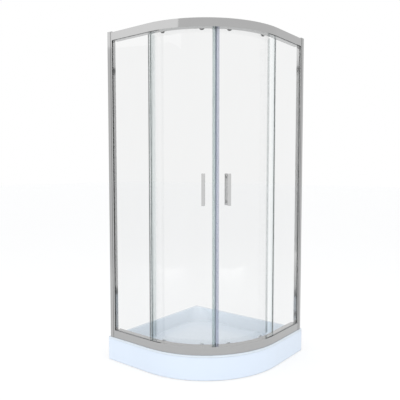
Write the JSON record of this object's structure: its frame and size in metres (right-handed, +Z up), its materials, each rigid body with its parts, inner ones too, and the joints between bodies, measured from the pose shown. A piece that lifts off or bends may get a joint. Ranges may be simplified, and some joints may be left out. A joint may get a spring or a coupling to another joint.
{
  "type": "quadrant shower enclosure",
  "caption": "Corner shower enclosure with a rounded front: white tray, fixed side panes and curved sliding doors on rollers between chromed rails.",
  "frame": {"origin": "on the floor under the middle of the tray's bounding square", "axes": "+Z up; the room corner is at -X +Y and the rounded front looks towards +X -Y"},
  "size_m": [0.9, 0.9, 2.055],
  "materials": {
    "tray_acrylic": "smooth gloss white acrylic",
    "apron_acrylic": "smooth gloss white acrylic",
    "board": "raw particle board",
    "zinc_steel": "zinc plated",
    "black_plastic": "moulded plastic",
    "trap_plastic": "moulded polypropylene",
    "waste_chrome": "polished",
    "profile_chrome": "polished anodised aluminium",
    "rail_chrome": "polished anodised aluminium",
    "fixed_glass": "clear toughened glass",
    "door_glass": "clear toughened glass",
    "clear_seal": "translucent soft plastic",
    "magnet": "magnetic strip",
    "gasket_rubber": "soft rubber",
    "roller_metal": "polished",
    "roller_plastic": "metallised plastic",
    "wheel_nylon": "turned nylon",
    "handle_chrome": "polished"
  },
  "bodies": {
    "frame": {"apron_brackets": "zinc_steel", "base_board": "board", "bottom_rail": "rail_chrome", "fixed_glass_left": "fixed_glass", "fixed_glass_right": "fixed_glass", "fixed_seal_left": "clear_seal", "fixed_seal_right": "clear_seal", "foot_lock_nuts": "zinc_steel", "foot_pads": "black_plastic", "foot_studs": "zinc_steel", "glazing_gaskets": "gasket_rubber", "pocket_infills": "rail_chrome", "post_caps": "profile_chrome", "rail_bumpers": "gasket_rubber", "rail_connectors": "black_plastic", "rail_screws": "zinc_steel", "side_post_left": "profile_chrome", "side_post_right": "profile_chrome", "support_bars": "zinc_steel", "top_rail": "rail_chrome", "trap_body": "trap_plastic", "trap_cup": "trap_plastic", "tray_apron": "apron_acrylic", "tray_shell": "tray_acrylic", "wall_profile_left": "profile_chrome", "wall_profile_right": "profile_chrome", "waste_flange": "waste_chrome"},
    "door_left": {"door_glass_left": "door_glass", "door_seal_left": "clear_seal", "magnet_seal_left": "clear_seal", "magnet_strip_left": "magnet", "upper_roller_mounts_left": "roller_metal", "lower_roller_housings_left": "roller_plastic", "release_springs_left": "roller_metal", "door_fixings_left": "roller_metal", "handle_outer_left": "handle_chrome", "handle_inner_left": "handle_chrome"},
    "upper_wheel_outer_left": {"upper_wheel_outer_left": "wheel_nylon"},
    "lower_wheel_outer_left": {"lower_wheel_outer_left": "wheel_nylon"},
    "wheel_carriage_outer_left": {"wheel_carriage_outer_left": "roller_plastic"},
    "upper_wheel_inner_left": {"upper_wheel_inner_left": "wheel_nylon"},
    "lower_wheel_inner_left": {"lower_wheel_inner_left": "wheel_nylon"},
    "wheel_carriage_inner_left": {"wheel_carriage_inner_left": "roller_plastic"},
    "door_right": {"door_glass_right": "door_glass", "door_seal_right": "clear_seal", "magnet_seal_right": "clear_seal", "magnet_strip_right": "magnet", "upper_roller_mounts_right": "roller_metal", "lower_roller_housings_right": "roller_plastic", "release_springs_right": "roller_metal", "door_fixings_right": "roller_metal", "handle_outer_right": "handle_chrome", "handle_inner_right": "handle_chrome"},
    "upper_wheel_outer_right": {"upper_wheel_outer_right": "wheel_nylon"},
    "lower_wheel_outer_right": {"lower_wheel_outer_right": "wheel_nylon"},
    "wheel_carriage_outer_right": {"wheel_carriage_outer_right": "roller_plastic"},
    "upper_wheel_inner_right": {"upper_wheel_inner_right": "wheel_nylon"},
    "lower_wheel_inner_right": {"lower_wheel_inner_right": "wheel_nylon"},
    "wheel_carriage_inner_right": {"wheel_carriage_inner_right": "roller_plastic"},
    "waste_cover": {"waste_cover": "waste_chrome"}
  },
  "joints": [
    {"name": "door_left_travel", "type": "hinge", "parent": "frame", "child": "door_left", "pos_m": [-0.1369, 0.1779, 1.1], "axis": [0, 0, -1], "range_deg": [0, 20.84]},
    {"name": "upper_wheel_outer_left_spin", "type": "hinge", "parent": "door_left", "child": "upper_wheel_outer_left", "pos_m": [-0.03724, -0.41116, 2.0162], "axis": [0.1219, -0.9925, 0], "range_deg": [0, 1005]},
    {"name": "release_outer_left", "type": "slide", "parent": "door_left", "child": "wheel_carriage_outer_left", "axis": [0, 0, -1], "range_m": [0, 0.006], "stiffness_N_per_m": 400, "springref_m": -0.005, "deforming": ["release_springs_left"]},
    {"name": "lower_wheel_outer_left_spin", "type": "hinge", "parent": "wheel_carriage_outer_left", "child": "lower_wheel_outer_left", "pos_m": [-0.03724, -0.41116, 0.1838], "axis": [0.1219, -0.9925, 0], "range_deg": [-1005, 0]},
    {"name": "upper_wheel_inner_left_spin", "type": "hinge", "parent": "door_left", "child": "upper_wheel_inner_left", "pos_m": [0.19906, -0.31927, 2.0162], "axis": [0.5807, -0.8141, 0], "range_deg": [0, 1010]},
    {"name": "release_inner_left", "type": "slide", "parent": "door_left", "child": "wheel_carriage_inner_left", "axis": [0, 0, -1], "range_m": [0, 0.006], "stiffness_N_per_m": 400, "springref_m": -0.005},
    {"name": "lower_wheel_inner_left_spin", "type": "hinge", "parent": "wheel_carriage_inner_left", "child": "lower_wheel_inner_left", "pos_m": [0.19906, -0.31927, 0.1838], "axis": [0.5807, -0.8141, 0], "range_deg": [-1010, 0]},
    {"name": "door_right_travel", "type": "hinge", "parent": "frame", "child": "door_right", "pos_m": [-0.1779, 0.1369, 1.1], "axis": [0, 0, 1], "range_deg": [0, 20.84]},
    {"name": "upper_wheel_outer_right_spin", "type": "hinge", "parent": "door_right", "child": "upper_wheel_outer_right", "pos_m": [0.41116, 0.03724, 2.0162], "axis": [0.9925, -0.1219, 0], "range_deg": [-1005, 0]},
    {"name": "release_outer_right", "type": "slide", "parent": "door_right", "child": "wheel_carriage_outer_right", "axis": [0, 0, -1], "range_m": [0, 0.006], "stiffness_N_per_m": 400, "springref_m": -0.005, "deforming": ["release_springs_right"]},
    {"name": "lower_wheel_outer_right_spin", "type": "hinge", "parent": "wheel_carriage_outer_right", "child": "lower_wheel_outer_right", "pos_m": [0.41116, 0.03724, 0.1838], "axis": [0.9925, -0.1219, 0], "range_deg": [0, 1005]},
    {"name": "upper_wheel_inner_right_spin", "type": "hinge", "parent": "door_right", "child": "upper_wheel_inner_right", "pos_m": [0.31927, -0.19906, 2.0162], "axis": [0.8141, -0.5807, 0], "range_deg": [-1010, 0]},
    {"name": "release_inner_right", "type": "slide", "parent": "door_right", "child": "wheel_carriage_inner_right", "axis": [0, 0, -1], "range_m": [0, 0.006], "stiffness_N_per_m": 400, "springref_m": -0.005},
    {"name": "lower_wheel_inner_right_spin", "type": "hinge", "parent": "wheel_carriage_inner_right", "child": "lower_wheel_inner_right", "pos_m": [0.31927, -0.19906, 0.1838], "axis": [0.8141, -0.5807, 0], "range_deg": [0, 1010]},
    {"name": "waste_cover_lift", "type": "slide", "parent": "frame", "child": "waste_cover", "axis": [0, 0, 1], "range_m": [0, 0.06]}
  ],
  "couplings": [
    {"joint": "upper_wheel_outer_left_spin", "follows": "door_left_travel", "ratio": 47.745},
    {"joint": "lower_wheel_outer_left_spin", "follows": "door_left_travel", "ratio": -47.745},
    {"joint": "upper_wheel_inner_left_spin", "follows": "door_left_travel", "ratio": 47.988},
    {"joint": "lower_wheel_inner_left_spin", "follows": "door_left_travel", "ratio": -47.988},
    {"joint": "upper_wheel_outer_right_spin", "follows": "door_right_travel", "ratio": -47.745},
    {"joint": "lower_wheel_outer_right_spin", "follows": "door_right_travel", "ratio": 47.745},
    {"joint": "upper_wheel_inner_right_spin", "follows": "door_right_travel", "ratio": -47.988},
    {"joint": "lower_wheel_inner_right_spin", "follows": "door_right_travel", "ratio": 47.988}
  ]
}
